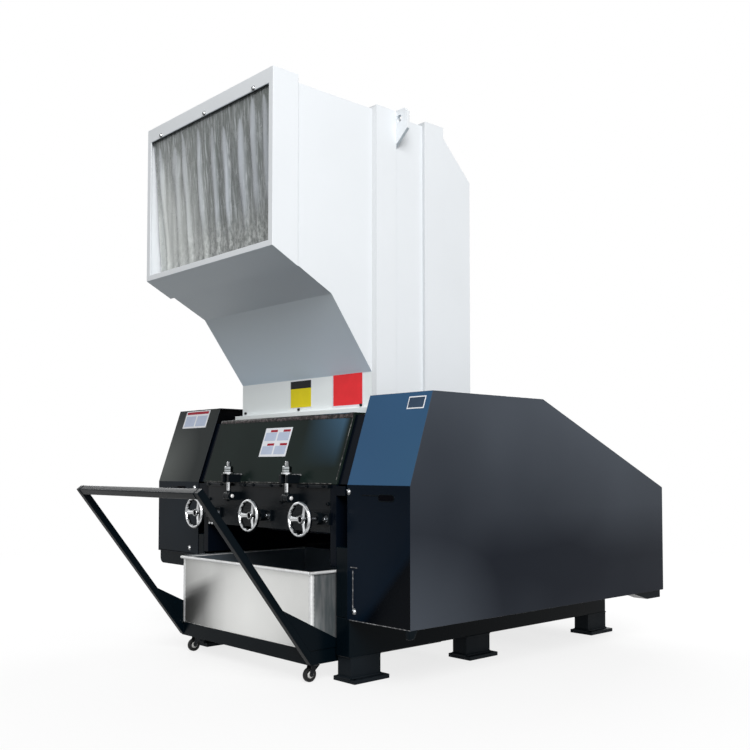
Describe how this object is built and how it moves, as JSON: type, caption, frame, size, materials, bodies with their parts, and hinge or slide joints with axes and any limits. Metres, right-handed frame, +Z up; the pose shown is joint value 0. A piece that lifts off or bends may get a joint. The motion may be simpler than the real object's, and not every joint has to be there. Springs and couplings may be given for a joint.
{
  "type": "plastic crusher",
  "caption": "Upright plastic crusher with a covered feed hopper, two side guards, clamped screen door and a wheeled collecting bin on a handle",
  "frame": {"origin": "on the floor under the middle of the whole machine's bounding box", "axes": "+X to the right seen from the front, +Y from the front (hopper mouth and bin handle) to the rear, +Z up"},
  "size_m": [1.9, 2.533, 2.5],
  "materials": {
    "frame_black": "satin black paint",
    "guard_black": "glossy near-black paint",
    "chamber_black": "glossy black paint",
    "hopper_white": "satin white paint",
    "curtain_clear": "clear vinyl",
    "bin_steel": "brushed stainless sheet",
    "bright_steel": "plated steel",
    "screen_steel": "plain steel plate",
    "motor_grey": "grey-blue paint",
    "zinc_steel": "zinc plated steel",
    "wheel_nylon": "pale nylon"
  },
  "bodies": {
    "machine": {"base_rail_left": "frame_black", "base_rail_right": "frame_black", "pedestal_left": "frame_black", "pedestal_right": "frame_black", "feet_left": "frame_black", "feet_right": "frame_black", "cross_beams": "frame_black", "chamber_side_left": "chamber_black", "chamber_side_right": "chamber_black", "chamber_rear_wall": "chamber_black", "front_bar": "chamber_black", "pivot_pins": "bright_steel", "screen_door": "chamber_black", "screen": "screen_steel", "upper_housing": "chamber_black", "lid": "chamber_black", "hopper_flange": "hopper_white", "hopper_side_left": "hopper_white", "hopper_side_right": "hopper_white", "hopper_back": "hopper_white", "hopper_underside": "hopper_white", "hopper_rim": "hopper_white", "hopper_bands": "hopper_white", "lifting_ears": "hopper_white", "curtain": "curtain_clear", "left_guard": "guard_black", "left_guard_tray": "guard_black", "right_guard": "guard_black", "right_guard_pan": "guard_black", "motor_plate": "frame_black", "motor": "motor_grey"},
    "trolley": {"trolley_base": "frame_black", "collecting_bin": "bin_steel", "trolley_handle": "frame_black", "handle_gussets": "frame_black"},
    "caster_fork_front_left": {"caster_fork_front_left": "zinc_steel"},
    "caster_wheel_front_left": {"caster_wheel_front_left": "wheel_nylon"},
    "caster_fork_front_right": {"caster_fork_front_right": "zinc_steel"},
    "caster_wheel_front_right": {"caster_wheel_front_right": "wheel_nylon"},
    "caster_fork_rear_left": {"caster_fork_rear_left": "zinc_steel"},
    "caster_wheel_rear_left": {"caster_wheel_rear_left": "wheel_nylon"},
    "caster_fork_rear_right": {"caster_fork_rear_right": "zinc_steel"},
    "caster_wheel_rear_right": {"caster_wheel_rear_right": "wheel_nylon"},
    "handwheel_left": {"handwheel_left": "bright_steel"},
    "handwheel_centre": {"handwheel_centre": "bright_steel"},
    "handwheel_right": {"handwheel_right": "bright_steel"},
    "swing_bolt_left": {"swing_bolt_left": "bright_steel"},
    "swing_bolt_right": {"swing_bolt_right": "bright_steel"}
  },
  "joints": [
    {"name": "trolley_slide", "type": "slide", "parent": "machine", "child": "trolley", "axis": [0, -1, 0], "range_m": [0, 0.9]},
    {"name": "swivel_front_left", "type": "hinge", "parent": "trolley", "child": "caster_fork_front_left", "pos_m": [-0.448, -0.66548, 0.06], "axis": [0, 0, 1], "continuous": true},
    {"name": "roll_front_left", "type": "hinge", "parent": "caster_fork_front_left", "child": "caster_wheel_front_left", "pos_m": [-0.448, -0.68749, 0.03], "axis": [1, 0, 0], "continuous": true},
    {"name": "swivel_front_right", "type": "hinge", "parent": "trolley", "child": "caster_fork_front_right", "pos_m": [0.446, -0.66548, 0.06], "axis": [0, 0, 1], "continuous": true},
    {"name": "roll_front_right", "type": "hinge", "parent": "caster_fork_front_right", "child": "caster_wheel_front_right", "pos_m": [0.446, -0.68749, 0.03], "axis": [1, 0, 0], "continuous": true},
    {"name": "swivel_rear_left", "type": "hinge", "parent": "trolley", "child": "caster_fork_rear_left", "pos_m": [-0.186, 0.01852, 0.06], "axis": [0, 0, 1], "continuous": true},
    {"name": "roll_rear_left", "type": "hinge", "parent": "caster_fork_rear_left", "child": "caster_wheel_rear_left", "pos_m": [-0.186, -0.00348, 0.03], "axis": [1, 0, 0], "continuous": true},
    {"name": "swivel_rear_right", "type": "hinge", "parent": "trolley", "child": "caster_fork_rear_right", "pos_m": [0.184, 0.01852, 0.06], "axis": [0, 0, 1], "continuous": true},
    {"name": "roll_rear_right", "type": "hinge", "parent": "caster_fork_rear_right", "child": "caster_wheel_rear_right", "pos_m": [0.184, -0.00348, 0.03], "axis": [1, 0, 0], "continuous": true},
    {"name": "turn_left", "type": "hinge", "parent": "machine", "child": "handwheel_left", "pos_m": [-0.411, -0.71149, 0.667], "axis": [0, -1, 0], "continuous": true},
    {"name": "turn_centre", "type": "hinge", "parent": "machine", "child": "handwheel_centre", "pos_m": [-0.001, -0.68249, 0.667], "axis": [0, -1, 0], "continuous": true},
    {"name": "turn_right", "type": "hinge", "parent": "machine", "child": "handwheel_right", "pos_m": [0.409, -0.71149, 0.667], "axis": [0, -1, 0], "continuous": true},
    {"name": "swing_left", "type": "hinge", "parent": "machine", "child": "swing_bolt_left", "pos_m": [-0.228, -0.63948, 0.75], "axis": [1, 0, 0], "range_deg": [0, 150]},
    {"name": "swing_right", "type": "hinge", "parent": "machine", "child": "swing_bolt_right", "pos_m": [0.226, -0.63948, 0.75], "axis": [1, 0, 0], "range_deg": [0, 150]}
  ]
}
